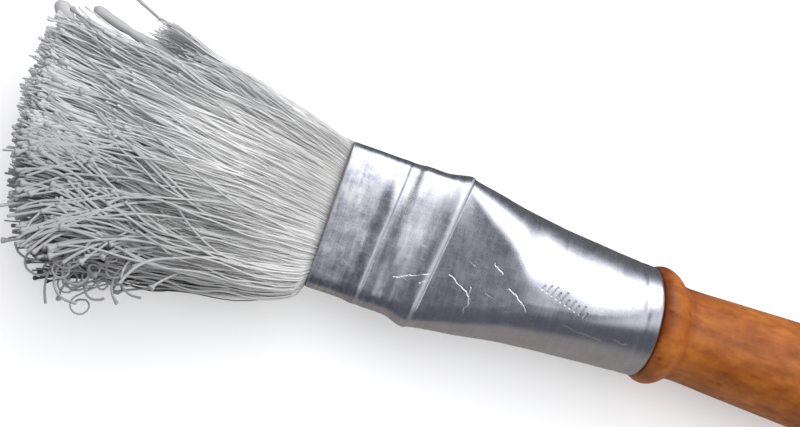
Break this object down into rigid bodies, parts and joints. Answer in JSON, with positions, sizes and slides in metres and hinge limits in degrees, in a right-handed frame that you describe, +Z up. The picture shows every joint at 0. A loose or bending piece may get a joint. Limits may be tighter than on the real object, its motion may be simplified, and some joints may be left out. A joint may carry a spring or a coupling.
{
  "type": "flat paint brush",
  "caption": "Flat paint brush: a splayed tuft of loose pale filaments in a crimped, flattened aluminium ferrule on a turned, lacquered wooden handle.",
  "frame": {"origin": "centre of the brush's bounding box in plan, on the surface it lies on", "axes": "+X from the tuft to the tail of the handle, +Y across the width of the tuft, +Z up out of the broad side"},
  "size_m": [0.1938, 0.0328, 0.0144],
  "materials": {
    "filament": "satin",
    "aluminium": "polished, with fine scratches",
    "resin": "cured, glossy",
    "lacquered_wood": "gloss lacquer"
  },
  "bodies": {
    "root": {"handle": "lacquered_wood", "ferrule": "aluminium", "resin_set": "resin", "lock_lower_1": "filament", "lock_middle_1": "filament", "lock_upper_1": "filament", "lock_lower_2": "filament", "lock_middle_2": "filament", "lock_upper_2": "filament", "lock_lower_3": "filament", "lock_middle_3": "filament", "lock_upper_3": "filament", "lock_lower_4": "filament", "lock_middle_4": "filament", "lock_upper_4": "filament", "lock_lower_5": "filament", "lock_middle_5": "filament", "lock_upper_5": "filament", "lock_lower_6": "filament", "lock_middle_6": "filament", "lock_upper_6": "filament", "stray_lock_thin": "filament", "stray_lock_blunt": "filament", "curled_lock": "filament"}
  },
  "joints": []
}
